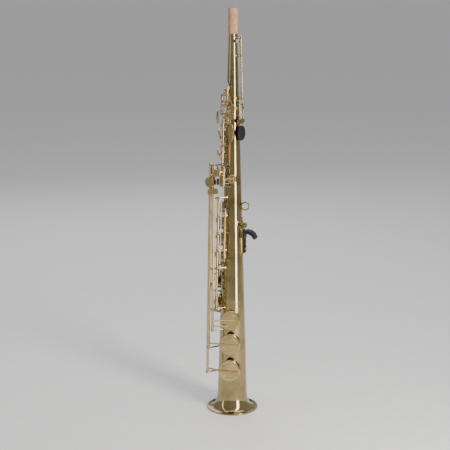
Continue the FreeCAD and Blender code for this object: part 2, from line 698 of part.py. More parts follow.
def low_left_keys():
    """Bell keys and their table of touches under the left little finger."""
    keys = {}
    rollers = {}
    facing = Vector(0, -1, 0)
    up = Vector(0, 0, 1)

    flat = Key("low_b_flat", 68.8, 406.0)
    flat.cup("low_b_flat", 4.2)
    z = 363.4
    flat.path([flat.line.at(z), Vector(-41.0, -19.0, z), Vector(-37.5, -27.5, z),
               Vector(-33.5, -28.8, z + 4.0)], outward(215))
    flat.metal.append(round_plate(Vector(-29.5, -29.0, 368.5), Vector(0.05, -1, 0), Vector(1, 0, 0.12),
                                  17.0, 9.0, 3.0))
    keys["low_b_flat_key"] = flat.finish()

    low_b = Key("low_b", 111.8, 406.0)
    low_b.cup("low_b", 4.2)
    z = 394.6
    low_b.path([low_b.line.at(z), Vector(-33.6, -26.8, z), Vector(-19.0, -27.4, z),
                Vector(-16.0, -29.6, z - 1.5)], Vector(-0.2, -1, 0))
    low_b.metal.append(round_plate(Vector(-16.0, -30.0, 386.0), Vector(0.12, -1, 0), up, 19.0, 6.5, 2.4))
    barrel, mounting = roller(Vector(-21.6, -30.0, 384.6), up, 9.0)
    low_b.metal += mounting
    for end in (390.1, 379.1):
        low_b.metal.append(ridge_bar(Vector(-21.6, -30.0, end), Vector(-17, -30.0, end), facing, 1.0, 1.4))
    rollers["b_touch_roller"] = (barrel, "low_b_key", Vector(-21.6, -30.0, 384.6), up, low_b)
    keys["low_b_key"] = low_b.finish()

    sharp = Key("c_sharp", 143.0, 406.0)
    sharp.cup("c_sharp", 3.6, opens=True)
    z = 147.6
    sharp.path([sharp.line.at(z), Vector(-22.0, -28.3, z), Vector(-9.5, -28.6, z)], outward(250), 2.0)
    sharp.metal.append(ball(Vector(-9.5, -28.4, z), 1.8))
    z = 383.5
    sharp.path([sharp.line.at(z), Vector(-31.5, -25.6, z), Vector(-34.0, -27.2, z)], outward(235), 3.0)
    sharp.metal.append(oval_plate(Vector(-37.0, -27.8, 383.0), Vector(-0.28, -1, 0), up, 8.4, 6.8))
    barrel, mounting = roller(Vector(-27.6, -29.0, 383.4), up, 8.0)
    sharp.metal += mounting
    for end in (388.4, 378.4):
        sharp.metal.append(ridge_bar(Vector(-27.6, -29.0, end), Vector(-35.0, -28.3, end), facing, 1.0, 1.4))
    rollers["c_sharp_touch_roller"] = (barrel, "c_sharp_key", Vector(-27.6, -29.0, 383.4), up, sharp)
    keys["c_sharp_key"] = sharp.finish()

    g_sharp = Key("g_sharp", 377.2, 401.4, SLIM_TUBE_RADIUS)
    g_sharp.cup("g_sharp", 2.0, opens=True)
    z = 399.9
    g_sharp.path([g_sharp.line.at(z), Vector(-17.0, -31.5, z), Vector(-22.0, -33.2, z)], Vector(-0.4, -1, 0))
    g_sharp.metal.append(round_plate(Vector(-25.5, -33.4, 398.4), Vector(-0.05, -1, 0), Vector(1, 0, -0.2),
                                     11.0, 10.5, 2.4))
    keys["g_sharp_key"] = g_sharp.finish()
    return keys, rollers


def articulation_key():
    """Slim bar that carries the F sharp motion up to the G sharp key."""
    key = Key("articulation", 258.2, 334.3, SLIM_TUBE_RADIUS)
    for z in (331.0, 289.0, 264.0):
        key.path([key.line.at(z), place(body_radius(z) + 9.5, 228, z)], outward(234), 1.8, 1.6)
    key.set_lever(place(body_radius(331) + 9.5, 228, 331), 3.0)
    return key.finish()


def right_little_finger_keys():
    keys = {}
    rollers = {}
    low_c = Key("lower_stack", 177.4, 238.7)
    low_c.cup("low_c", 4.0)
    z = 204.0
    touch = place(body_radius(z) + 12.0, 183, z)
    low_c.path([low_c.line.at(z), place(body_radius(z) + 12.5, 200, z), touch], outward(195))
    low_c.metal.append(round_plate(touch, outward(184), tangent(184), 15.0, 8.0, 2.6))
    across = tangent(184)
    centre = place(body_radius(210) + 12.4, 183, 210.6)
    barrel, mounting = roller(centre, across, 9.0)
    low_c.metal += mounting
    for side in (-5.2, 5.2):
        end = centre + across * side
        low_c.metal.append(ridge_bar(end, end - Vector(0, 0, 4.5), outward(184), 1.0, 1.4))
    rollers["low_c_touch_roller"] = (barrel, "low_c_key", centre, across, low_c)
    keys["low_c_key"] = low_c.finish()

    e_flat = Key("e_flat", 206.1, 238.2)
    e_flat.cup("e_flat", 2.8, opens=True)
    z = 226.0
    touch = place(body_radius(z) + 12.0, 183, z)
    e_flat.path([e_flat.line.at(z), place(body_radius(z) + 12.0, 168, z), touch], outward(172))
    e_flat.metal.append(round_plate(touch, outward(184), tangent(184), 15.0, 8.0, 2.6))
    centre = place(body_radius(220) + 12.4, 183, 219.4)
    barrel, mounting = roller(centre, across, 9.0)
    e_flat.metal += mounting
    for side in (-5.2, 5.2):
        end = centre + across * side
        e_flat.metal.append(ridge_bar(end, end + Vector(0, 0, 4.5), outward(184), 1.0, 1.4))
    rollers["e_flat_touch_roller"] = (barrel, "e_flat_key", centre, across, e_flat)
    keys["e_flat_key"] = e_flat.finish()
    return keys, rollers


def all_keys():
    keys = {}
    keys.update(octave_keys())
    keys["palm_f_key"] = palm_key(512.9, 530.9, "palm_f", 268, 498, 6.0, 13.0)
    keys["palm_e_flat_key"] = palm_key(493.9, 512.7, "palm_e_flat", 264, 485.5, 5.5)
    keys["palm_d_key"] = palm_key(473.6, 493.7, "palm_d", 262, 460, 14.0)
    keys["front_f_key"] = front_f_key()
    keys["side_e_key"] = side_key("side_e", 348.9, 514.1, "side_e", 68, 14.0)
    keys["side_c_key"] = side_key("side_c", 325.9, 461.1, "side_c", 78, 14.0)
    keys["side_b_flat_key"] = side_key("side_b_flat", 303.9, 415.1, "side_b_flat", 90, 14.0)
    keys.update(upper_stack_keys())
    keys.update(lower_stack_keys())
    keys["articulation_key"] = articulation_key()
    left_keys, left_rollers = low_left_keys()
    right_keys, right_rollers = right_little_finger_keys()
    keys.update(left_keys)
    keys.update(right_keys)
    return keys, {**left_rollers, **right_rollers}


# ---- fittings for the hands -----------------------------------------------------------
REST_ANGLE = 323.0
REST_Z = 458.0
STRAP_RING_CENTRE = Vector(19.9, -8.0, 341.0)
STRAP_RING_BORE_RADIUS = 5.2
STRAP_RING_WIDTH = 2.2
STRAP_PAD_THICKNESS = 0.7
HOOK_ANGLE = 340.0
GUARD_RISES = {"low_c": 8.6, "e_flat": 7.0}      # guard strap above the shut cup


def thumb_rest():
    centre = place(body_radius(REST_Z) + 5.6, REST_ANGLE, REST_Z)
    disc = oval_plate(centre, outward(REST_ANGLE), Vector(0, 0, 1), 11.9, 9.4, 3.0)
    dish = ball(centre + outward(REST_ANGLE) * 41.2, 40.0)
    return disc.cut(dish)


def thumb_rest_mount():
    surface = place(body_radius(REST_Z) - 0.6, REST_ANGLE, REST_Z)
    under = place(body_radius(REST_Z) + 4.1, REST_ANGLE, REST_Z)
    pillar = cylinder(surface, under, 3.4)
    plate = oval_plate(under - outward(REST_ANGLE) * 0.6, outward(REST_ANGLE), Vector(0, 0, 1), 9.6, 5.6, 1.2)
    return pillar.fuse(plate).cut(OUTER_CONE)


def strap_ring():
    """Flat-sided ring on a small pad soldered to the back of the tube."""
    sideways = Vector(0, 1, 0)
    start = STRAP_RING_CENTRE - sideways * (STRAP_RING_WIDTH / 2)
    ring = Part.makeCylinder(STRAP_RING_BORE_RADIUS + 2.0, STRAP_RING_WIDTH, start, sideways)
    ring = ring.makeFillet(0.6, [edge for edge in ring.Edges if edge.Curve.TypeId == "Part::GeomCircle"])
    pad = Part.makeBox(5.0, 5.0, 20.0, Vector(10.0, -10.5, STRAP_RING_CENTRE.z - 10))
    hole = Part.makeCylinder(STRAP_RING_BORE_RADIUS, 12, STRAP_RING_CENTRE - sideways * 6, sideways)
    shell = cone_between(STRAP_RING_CENTRE.z - 12, STRAP_RING_CENTRE.z + 12, STRAP_PAD_THICKNESS)
    return pad.common(shell).fuse(ring).cut([hole, OUTER_CONE])


def thumb_hook_plate():
    """Curved base plate with two bosses; the hook slides on its flat land."""
    shell = cone_between(262, 322, 1.2)
    block = Part.makeBox(40, 13, 60, Vector(0, -6.5, 262))
    block.rotate(Vector(0, 0, 0), Vector(0, 0, 1), HOOK_ANGLE)
    plate = shell.common(block)
    land_base = place(body_radius(290) - 1.0, HOOK_ANGLE, 264)
    land = Part.makeBox(4.2, 9.0, 40.0, Vector(0, -4.5, 0))
    land.rotate(Vector(0, 0, 0), Vector(0, 0, 1), HOOK_ANGLE)
    land.translate(land_base)
    boss_start = place(8.0, 318, 312.0)
    boss = cylinder(boss_start, place(27.0, 318, 312.0), 4.5)
    boss = boss.fuse(cylinder(boss_start, place(20.0, 318, 312.0), 5.3))
    return plate.fuse([land, boss]).cut(OUTER_CONE)


HOOK_FACE = body_radius(290) + 3.2


def hook_frame(shape):
    """From a frame with X out of the tube at the hook to its real place."""
    shape.rotate(Vector(0, 0, 0), Vector(0, 0, 1), HOOK_ANGLE)
    return shape


def thumb_hook():
    """Sliding stem with a slot, and the hook that curls over the right thumb."""
    stem = Part.makeBox(2.4, 7.0, 30.0, Vector(HOOK_FACE + 0.1, -3.5, 265.0))
    slot = Part.makeBox(8, 3.4, 11.0, Vector(HOOK_FACE - 2, -1.7, 266.5))
    profile = [(0, 302), (5, 303), (12, 301.5), (18, 297), (21, 291), (20.2, 288.4), (17.8, 289),
               (14, 294), (8, 296.8), (3, 297), (2.4, 289), (0, 289)]
    corners = [Vector(HOOK_FACE + 0.1 + x, -7.0, z) for x, z in profile]
    arm = Part.Face(Part.makePolygon(corners + corners[:1])).extrude(Vector(0, 14.0, 0))
    arm = arm.makeFillet(0.9, [edge for edge in arm.Edges])
    return hook_frame(stem.cut(slot).fuse(arm).removeSplitter())


def thumb_hook_screw():
    x = HOOK_FACE + 2.5 + 0.1
    shank = cylinder(Vector(HOOK_FACE, 0, 272), Vector(x, 0, 272), 1.5)
    head = cylinder(Vector(x, 0, 272), Vector(x + 2.2, 0, 272), 3.3)
    head = head.makeFillet(0.5, [edge for edge in head.Edges if edge.Curve.TypeId == "Part::GeomCircle"])
    slot = Part.makeBox(2, 10, 0.8, Vector(x + 1.3, -5, 271.6))
    return hook_frame(shank.fuse(head).cut(slot))


def key_guards():
    """Bent straps over the low C and E flat cups on two feet each."""
    guards = []
    for name, rise in GUARD_RISES.items():
        hole = HOLES[name]
        reach = hole.cup_radius + 2.2
        along = unit(Vector(0, 0, 1) - hole.normal * hole.normal.z)
        crest = hole.top + hole.normal * rise
        ends = [crest + along * (reach * side) for side in (1, -1)]
        legs = []
        for end in ends:
            foot = end - hole.normal * (end.dot(hole.normal) - hole.surface.dot(hole.normal) + 0.5)
            legs.append(cylinder(foot, end, 1.5))
            legs.append(cylinder(foot, foot + hole.normal * 2, FOOT_RADIUS))
            legs.append(ball(end, 1.5))
        strap = ridge_bar(ends[0], ends[1], hole.normal, 3.0, 2.0)
        guards.append(strap.fuse(legs).cut([OUTER_CONE] + CHIMNEYS))
    return guards


def guard_felts():
    felts = []
    for name, rise in GUARD_RISES.items():
        hole = HOLES[name]
        top = hole.top + hole.normal * (rise - 1.0)
        felts.append(cylinder(top - hole.normal * 1.0, top, 2.0))
    return felts


# ---- writing the parts ----------------------------------------------------------------
SEPARATE_PADS = ("low_b_flat_key", "low_b_key", "c_sharp_key", "low_c_key", "e_flat_key", "d_key",
                 "e_key", "f_key")


def build_model():
    """All nodes by name, each a list of solids, and the keys and rollers for their joints."""
    keys, rollers = all_keys()
    nodes = {
        "body_tube": [body_tube()],
        "bell": [bell()],
        "bell_rim": [bell_rim()],
        "neck_cork": [neck_cork()],
        "octave_pips": octave_pips(),
        "stack_posts": stack_posts(),
        "low_key_posts": low_key_posts(),
        "left_side_posts": left_side_posts(),
        "right_side_posts": right_side_posts(),
        "octave_posts": octave_posts(),
        "ribs": ribs(),
        "hinge_rods": hinge_rods(),
        "thumb_rest": [thumb_rest()],
        "thumb_rest_mount": [thumb_rest_mount()],
        "strap_ring": [strap_ring()],
        "thumb_hook_plate": [thumb_hook_plate()],
        "thumb_hook": [thumb_hook()],
        "thumb_hook_screw": [thumb_hook_screw()],
        "key_guards": key_guards(),
        "guard_felts": guard_felts(),
    }
    for name, key in keys.items():
        nodes[name] = key.metal + key.inserts
        if name in SEPARATE_PADS:
            nodes[name.replace("_key", "_pad")] = key.pads
        else:
            nodes[name] += key.pads
    for name, (barrel, _, _, _, key) in rollers.items():
        barrel.rotate(key.line.low, key.line.direction, key.rest_turn)
        nodes[name] = [barrel]
    posts = ("stack_posts", "low_key_posts", "left_side_posts", "right_side_posts", "octave_posts")
    strips = nodes["ribs"]
    for name in posts:
        nodes[name] = [largest_solid(solid.cut(strips)) for solid in nodes[name]]
    return nodes, keys, rollers


NODES, KEYS, ROLLERS = build_model()
os.makedirs("parts", exist_ok=True)
for node_name, shapes in NODES.items():
    Part.makeCompound(shapes).exportStep("parts/" + node_name + ".step")
for node_name, moving_key in KEYS.items():
    travel = moving_key.travel_sign * moving_key.turn_degrees
    print(node_name, "hinges at", moving_key.line.low, "along", moving_key.line.direction, "by", travel)
for node_name, (_, key_name, centre, axis, _) in ROLLERS.items():
    print(node_name, "turns on", key_name, "at", centre, "along", axis)
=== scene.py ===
"""Looks for the soprano saxophone: materials, small steel and cork details, floor, lights, camera.

Units are metres, in the CAD frame: +Z up the bore, -X the front, -Y the player's left.
"""
import json
import math

import bmesh
import bpy
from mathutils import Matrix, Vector


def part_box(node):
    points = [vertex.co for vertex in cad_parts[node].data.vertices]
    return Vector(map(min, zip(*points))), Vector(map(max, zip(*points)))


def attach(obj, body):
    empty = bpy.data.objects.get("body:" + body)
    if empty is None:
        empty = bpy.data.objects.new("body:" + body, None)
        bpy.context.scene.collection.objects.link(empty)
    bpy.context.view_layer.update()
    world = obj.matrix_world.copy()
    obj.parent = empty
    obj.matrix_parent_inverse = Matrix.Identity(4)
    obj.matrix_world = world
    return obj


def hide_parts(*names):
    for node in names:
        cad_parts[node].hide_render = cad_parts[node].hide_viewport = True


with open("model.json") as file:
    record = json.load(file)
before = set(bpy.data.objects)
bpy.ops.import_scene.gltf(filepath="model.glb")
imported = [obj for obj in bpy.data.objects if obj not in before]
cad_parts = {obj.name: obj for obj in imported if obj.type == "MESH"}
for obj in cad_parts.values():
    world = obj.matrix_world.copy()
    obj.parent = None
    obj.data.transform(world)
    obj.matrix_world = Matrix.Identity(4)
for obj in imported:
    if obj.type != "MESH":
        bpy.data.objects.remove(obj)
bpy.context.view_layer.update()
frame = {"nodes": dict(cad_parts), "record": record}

NODES = frame["nodes"]

# ---- camera and stage sizes ----------------------------------------------------------
CAMERA_PLACE = (-0.0122, -1.673, 0.666)
CAMERA_TILT = math.radians(77.94)
CAMERA_LENS = 85.25
SENSOR_WIDTH = 36.0
FLOOR_RADIUS = 900.0          # far enough that no edge shows in the main view
FLOOR_SEGMENTS = 96
WARM = (1.0, 0.97, 0.92)
WHITE = (1.0, 1.0, 1.0)
COOL = (0.95, 0.97, 1.0)
# Area lights: name, position, target, width, height, power, colour.
LIGHTS = (
    ("strip_right", (0.50, -0.62, 0.85), (0.0, 0.0, 0.85), 0.20, 1.7, 18.0, WARM),
    ("strip_left", (-0.95, -0.35, 0.8), (0.0, 0.0, 0.8), 0.10, 1.6, 2.0, WARM),
    ("overhead", (0.1, 0.3, 2.4), (0.0, 0.1, 0.2), 1.8, 1.8, 20.0, WHITE),
    ("back_fill", (-0.4, 1.6, 1.3), (0.0, 0.0, 0.35), 1.2, 1.2, 7.0, COOL),
)
AIR_COLOUR = (0.62, 0.62, 0.63, 1.0)
AIR_STRENGTH = 0.75

# ---- the cone of the tube, as in the CAD ---------------------------------------------
CONE_SLOPE = 0.030
CONE_REFERENCE_Z = 0.571
CONE_REFERENCE_RADIUS = 0.0079


def body_radius(z):
    return CONE_REFERENCE_RADIUS + CONE_SLOPE * (CONE_REFERENCE_Z - z)


def place(distance, degrees, z):
    angle = math.radians(degrees)
    return Vector((distance * math.cos(angle), distance * math.sin(angle), z))


# ---- node helpers --------------------------------------------------------------------
class Shader:
    """A material under construction: short names for the nodes that the materials share."""

    def __init__(self, name):
        self.material = bpy.data.materials.new(name)
        self.material.use_nodes = True
        self.tree = self.material.node_tree
        self.surface = self.tree.nodes["Principled BSDF"]

    def node(self, kind, **values):
        made = self.tree.nodes.new(kind)
        for key, value in values.items():
            if key in made.inputs:
                made.inputs[key].default_value = value
            else:
                setattr(made, key, value)
        return made

    def link(self, source, target):
        self.tree.links.new(source, target)

    def coordinates(self, stretch=(1, 1, 1)):
        mapping = self.node("ShaderNodeMapping")
        mapping.inputs["Scale"].default_value = stretch
        self.link(self.node("ShaderNodeTexCoord").outputs["Object"], mapping.inputs["Vector"])
        return mapping.outputs["Vector"]

    def noise(self, vector, scale, detail=4.0, roughness=0.55):
        made = self.node("ShaderNodeTexNoise", Scale=scale, Detail=detail, Roughness=roughness)
        self.link(vector, made.inputs["Vector"])
        return made.outputs["Fac"]

    def ramp(self, source, stops):
        made = self.node("ShaderNodeValToRGB")
        ramp = made.color_ramp
        while len(ramp.elements) < len(stops):
            ramp.elements.new(0.5)
        for element, (position, colour) in zip(ramp.elements, stops):
            element.position = position
            element.color = (*colour, 1)
        self.link(source, made.inputs["Fac"])
        return made.outputs["Color"]

    def spread(self, source, low, high):
        made = self.node("ShaderNodeMapRange")
        made.inputs["To Min"].default_value = low
        made.inputs["To Max"].default_value = high
        self.link(source, made.inputs["Value"])
        return made.outputs["Result"]

    def bump(self, source, strength, distance):
        made = self.node("ShaderNodeBump", Strength=strength, Distance=distance)
        self.link(source, made.inputs["Height"])
        self.link(made.outputs["Normal"], self.surface.inputs["Normal"])

    def set(self, **values):
        for key, value in values.items():
            self.surface.inputs[key.replace("_", " ")].default_value = value

    def colour(self, source):
        self.link(source, self.surface.inputs["Base Color"])

    def roughness(self, source):
        self.link(source, self.surface.inputs["Roughness"])


# ---- materials -----------------------------------------------------------------------
def brass_material(name, light, dark, rough_low, rough_high):
    """Polished brass under clear lacquer: faint tarnish clouds and fine wipe marks."""
    shader = Shader(name)
    place_on = shader.coordinates()
    clouds = shader.noise(place_on, 38.0, 5.0)
    shader.colour(shader.ramp(clouds, [(0.30, dark), (0.52, light), (0.75, light)]))
    wipes = shader.noise(shader.coordinates((1, 1, 0.12)), 420.0, 3.0)
    shader.roughness(shader.spread(wipes, rough_low, rough_high))
    shader.set(Metallic=1.0, Coat_Weight=0.35, Coat_Roughness=0.06, Coat_IOR=1.5)
    shader.bump(shader.noise(place_on, 90.0, 3.0), 0.05, 0.0004)
    return shader.material


def steel_material():
    shader = Shader("blued_steel_rod")
    grain = shader.noise(shader.coordinates((1, 1, 0.05)), 900.0, 2.0)
    shader.colour(shader.ramp(grain, [(0.3, (0.42, 0.42, 0.44)), (0.7, (0.60, 0.60, 0.61))]))
    shader.roughness(shader.spread(grain, 0.22, 0.38))
    shader.set(Metallic=1.0)
    shader.bump(grain, 0.1, 0.0001)
    return shader.material


def cork_material():
    """Sheet cork: tan granules, dark pores and a rubbed, matt surface."""
    shader = Shader("neck_cork_sheet")
    place_on = shader.coordinates((1, 1, 0.6))
    cells = shader.node("ShaderNodeTexVoronoi", Scale=620.0)
    shader.link(place_on, cells.inputs["Vector"])
    mixed = shader.node("ShaderNodeMath", operation="MULTIPLY_ADD")
    mixed.inputs[1].default_value = 0.55
    shader.link(cells.outputs["Distance"], mixed.inputs[0])
    shader.link(shader.noise(place_on, 260.0, 6.0, 0.7), mixed.inputs[2])
    shader.colour(shader.ramp(mixed.outputs["Value"], [
        (0.40, (0.13, 0.062, 0.030)), (0.52, (0.30, 0.155, 0.078)),
        (0.72, (0.40, 0.215, 0.115)), (0.95, (0.50, 0.29, 0.165))]))
    shader.set(Roughness=0.86, Specular_IOR_Level=0.25)
    shader.bump(mixed.outputs["Value"], 0.5, 0.0003)
    return shader.material


def pad_material():
    """Oiled tan kid leather with fine grain."""
    shader = Shader("pad_leather_tan")
    place_on = shader.coordinates()
    grain = shader.node("ShaderNodeTexVoronoi", Scale=1500.0)
    shader.link(place_on, grain.inputs["Vector"])
    tone = shader.noise(place_on, 180.0, 4.0)
    shader.colour(shader.ramp(tone, [(0.3, (0.20, 0.105, 0.05)), (0.7, (0.36, 0.21, 0.11))]))
    shader.set(Roughness=0.62, Specular_IOR_Level=0.35)
    shader.bump(grain.outputs["Distance"], 0.4, 0.0001)
    return shader.material


def pearl_material():
    """Mother-of-pearl: curved pale layers that shift from cream to rose and green."""
    shader = Shader("pearl_touch")
    place_on = shader.coordinates()
    layers = shader.noise(place_on, 240.0, 6.0, 0.6)
    shader.colour(shader.ramp(layers, [
        (0.30, (0.60, 0.62, 0.55)), (0.45, (0.78, 0.74, 0.68)),
        (0.58, (0.70, 0.62, 0.62)), (0.72, (0.82, 0.82, 0.78))]))
    shader.roughness(shader.spread(layers, 0.12, 0.26))
    shader.set(Coat_Weight=0.6, Coat_Roughness=0.05)
    shader.bump(layers, 0.06, 0.0002)
    return shader.material


def plastic_material():
    """Black moulded plastic, worn a little duller where thumbs rub it."""
    shader = Shader("black_moulding")
    place_on = shader.coordinates()
    wear = shader.noise(place_on, 70.0, 5.0)
    shader.colour(shader.ramp(wear, [(0.3, (0.006, 0.005, 0.007)), (0.8, (0.016, 0.013, 0.017))]))
    shader.roughness(shader.spread(wear, 0.30, 0.52))
    shader.set(Specular_IOR_Level=0.28)
    shader.bump(shader.noise(place_on, 1500.0, 2.0), 0.05, 0.0001)
    return shader.material


def felt_material():
    shader = Shader("bumper_felt")
    fibres = shader.noise(shader.coordinates(), 2600.0, 4.0, 0.7)
    shader.colour(shader.ramp(fibres, [(0.3, (0.03, 0.028, 0.028)), (0.7, (0.10, 0.095, 0.09))]))
    shader.set(Roughness=0.95, Sheen_Weight=0.4, Sheen_Roughness=0.5)
    shader.bump(fibres, 0.7, 0.0003)
    return shader.material


def floor_material():
    shader = Shader("studio_floor_paper")
    fibres = shader.noise(shader.coordinates(), 60.0, 6.0)
    shader.colour(shader.ramp(fibres, [(0.3, (0.77, 0.765, 0.76)), (0.7, (0.82, 0.815, 0.81))]))
    shader.set(Roughness=0.8, Specular_IOR_Level=0.2)
    return shader.material


# Painted shade: the tube and bell brass gets a darker base colour than the same brass on the keys,
# standing in for the dark reflections along the tube.
BODY_BRASS_PAINTED_SHADE = brass_material("lacquered_brass_painted_shade", (0.34, 0.262, 0.118), (0.22, 0.163, 0.070), 0.06, 0.13)
# Painted highlight: the key brass gets a brighter base colour than the tube's, standing in for the
# light caught on the keys' edges.
KEY_BRASS_PAINTED_HIGHLIGHT = brass_material("key_brass_painted_highlight", (0.51, 0.375, 0.162), (0.35, 0.242, 0.095), 0.09, 0.18)
STEEL = steel_material()
CORK = cork_material()
PAD = pad_material()
PEARL = pearl_material()
PLASTIC = plastic_material()
FELT = felt_material()

SLOT_MATERIALS = {"brass_lacquer": BODY_BRASS_PAINTED_SHADE, "steel": STEEL, "cork": CORK, "pad_leather": PAD,
                  "black_plastic": PLASTIC, "felt": FELT}
PEARL_KEYS = ("b_key", "a_key", "g_key", "f_key", "e_key", "d_key")
PEARL_RADIUS = 0.0044
PLUG_DEPTH = 0.00205          # the thickest thing set in a key, a pad
PLUG_SIDE = 0.0010            # the shortest side wall of a pad or pearl
SLACK = 0.00005
FULL_DISC = 0.95              # share of a circle's area that a flat round face must fill
FLAT = 0.9999                 # cosine between the normals of a flat face
FACING = 0.5                  # cosine between a plug's axis and straight out of the tube
PAD_INDEX = 1                 # slot 0 is the key's brass
PEARL_INDEX = 2


def faces_of(mesh, joined=False):
    """Lists of polygon indices, one per CAD face, or one per solid when joined."""
    spots = {}
    first = []
    for vertex in mesh.vertices:
        key = tuple(round(value, 6) for value in vertex.co) if joined else vertex.index
        first.append(spots.setdefault(key, vertex.index))
    parent = list(range(len(first)))

    def root(index):
        while parent[index] != index:
            parent[index] = parent[parent[index]]
            index = parent[index]
        return index

    for polygon in mesh.polygons:
        start = root(first[polygon.vertices[0]])
        for vertex in polygon.vertices[1:]:
            parent[root(first[vertex])] = start
    groups = {}
    for polygon in mesh.polygons:
        groups.setdefault(root(first[polygon.vertices[0]]), []).append(polygon.index)
    return list(groups.values())


def corners_of(mesh, polygons):
    corners = {tuple(mesh.vertices[v].co) for p in polygons for v in mesh.polygons[p].vertices}
    return [Vector(corner) for corner in corners]


def plugs(mesh):
    """Pads and pearls: (middle of the inner face, outward axis, radius, polygon indices)."""
    faces = [(polygons, corners_of(mesh, polygons)) for polygons in faces_of(mesh)]
    found = []
    for polygons, corners in faces:
        normals = [mesh.polygons[p].normal for p in polygons]
        if min(normal.dot(normals[0]) for normal in normals) < FLAT:
            continue
        middle = sum(corners, Vector()) / len(corners)
        out = -normals[0]
        radius = max((corner - middle).length for corner in corners)
        area = sum(mesh.polygons[p].area for p in polygons)
        away = Vector((middle.x, middle.y, 0)).normalized()
        if out.dot(away) < FACING or area < FULL_DISC * math.pi * radius * radius:
            continue
        inside = []
        has_side = False
        for others, points in faces:
            heights = [(point - middle).dot(out) for point in points]
            reaches = [(point - middle).cross(out).length for point in points]
            if min(heights) < -SLACK or max(heights) > PLUG_DEPTH:
                continue
            if max(reaches) > radius + SLACK:
                continue
            inside += others
            on_edge = min(reaches) > radius - SLACK and min(heights) < SLACK
            has_side = has_side or (on_edge and max(heights) > PLUG_SIDE)
        if has_side:
            found.append((middle, out, radius, inside))
    return found


def is_pearl(name, radius):
    return name in PEARL_KEYS and abs(radius - PEARL_RADIUS) < SLACK


def dress_key(name, node):
    """Brass with a brighter base colour, a painted highlight, for the key's metal, with its pads
    and pearl picked out by their shape.
    """
    node.data.materials.clear()
    for material in (KEY_BRASS_PAINTED_HIGHLIGHT, PAD, PEARL):
        node.data.materials.append(material)
    for _, _, radius, polygons in plugs(node.data):
        index = PEARL_INDEX if is_pearl(name, radius) else PAD_INDEX
        for polygon in polygons:
            node.data.polygons[polygon].material_index = index


def dress_nodes():
    slots = {part["node"]: part["material_slot"] for part in frame["record"]["subparts"]}
    for name, node in NODES.items():
        if name.endswith("_key"):
            dress_key(name, node)
            continue
        node.data.materials.clear()
        node.data.materials.append(SLOT_MATERIALS[slots[name]])


dress_nodes()

# ---- small steel pieces --------------------------------------------------------------
SCREW_RADIUS = 0.0015
SCREW_HEIGHT = 0.0008
SCREW_SLOT = 0.00035
SCREW_PROFILE = ((-0.4, 1.0), (0.55, 1.0), (0.85, 0.9), (1.0, 0.7))    # shares of height, radius
SLOT_PROUD = 1.02
SLOT_DEPTH = 0.35
SPRING_RADIUS = 0.00032
SPRING_LENGTH = 0.019
SPRING_OFFSET = 0.0031
SPRING_SHARE = 0.42           # of its rod, where the rod is short
SPRING_LIFT = 0.0006
SPRING_TAPER = 0.55
SPRING_STEPS = 6
SPRING_SEGMENTS = 8
POST_REACH = 0.0030           # from a rod's end to past the post that holds it
CROWDED = 0.003               # no screw head this close to the octave thumb lever
LOBE_SEGMENTS = 20
SHARP_ANGLE = math.radians(38)


def add_piece(name, shape, material, body):
    mesh = bpy.data.meshes.new(name)
    shape.normal_update()
    shape.to_mesh(mesh)
    shape.free()
    for polygon in mesh.polygons:
        polygon.use_smooth = True
    mesh.set_sharp_from_angle(angle=SHARP_ANGLE)
    piece = bpy.data.objects.new(name, mesh)
    bpy.context.collection.objects.link(piece)
    mesh.materials.append(material)
    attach(piece, body)
    return piece


def sweep_rings(shape, rings):
    """Skin a list of vertex rings, and close both ends with a face."""
    made = [[shape.verts.new(point) for point in ring] for ring in rings]
    count = len(made[0])
    for below, above in zip(made, made[1:]):
        for index in range(count):
            after = (index + 1) % count
            shape.faces.new((below[index], below[after], above[after], above[index]))
    shape.faces.new(made[0][::-1])
    shape.faces.new(made[-1])


def ring(centre, axis, radius, segments=LOBE_SEGMENTS):
    side = axis.orthogonal().normalized()
    other = axis.cross(side)
    steps = [2 * math.pi * index / segments for index in range(segments)]
    return [centre + (side * math.cos(a) + other * math.sin(a)) * radius for a in steps]


def rod_ends():
    """Each hinge rod's two ends, from its solid in the CAD: lists of (low, high)."""
    mesh = NODES["hinge_rods"].data
    ends = []
    for polygons in faces_of(mesh, joined=True):
        points = {tuple(mesh.vertices[v].co) for p in polygons for v in mesh.polygons[p].vertices}
        points = sorted((Vector(point) for point in points), key=lambda point: point.z)
        low = [point for point in points if point.z < points[0].z + 0.001]
        high = [point for point in points if point.z > points[-1].z - 0.001]
        ends.append((sum(low, Vector()) / len(low), sum(high, Vector()) / len(high)))
    return ends


def rod_screws(ends):
    """Slotted pivot screw heads that close the posts at the rods' ends."""
    shape = bmesh.new()
    lever = [vertex.co for vertex in NODES["octave_thumb_lever"].data.vertices]
    for low, high in ends:
        along = (high - low).normalized()
        for tip, axis in ((low, -along), (high, along)):
            if min((tip - corner).length for corner in lever) < CROWDED:
                continue
            sweep_rings(shape, [ring(tip + axis * (SCREW_HEIGHT * h), axis, SCREW_RADIUS * r)
                                for h, r in SCREW_PROFILE])
            side = axis.orthogonal().normalized() * SCREW_RADIUS * SLOT_PROUD
            width = axis.cross(side).normalized() * SCREW_SLOT
            top = tip + axis * (SCREW_HEIGHT * SLOT_PROUD)
            corners = [top + side + width, top - side + width,
                       top - side - width, top + side - width]
            lower = [corner - axis * (SCREW_HEIGHT * SLOT_DEPTH) for corner in corners]
            sweep_rings(shape, [lower, corners])
    add_piece("rod_screw_heads", shape, STEEL, "instrument")


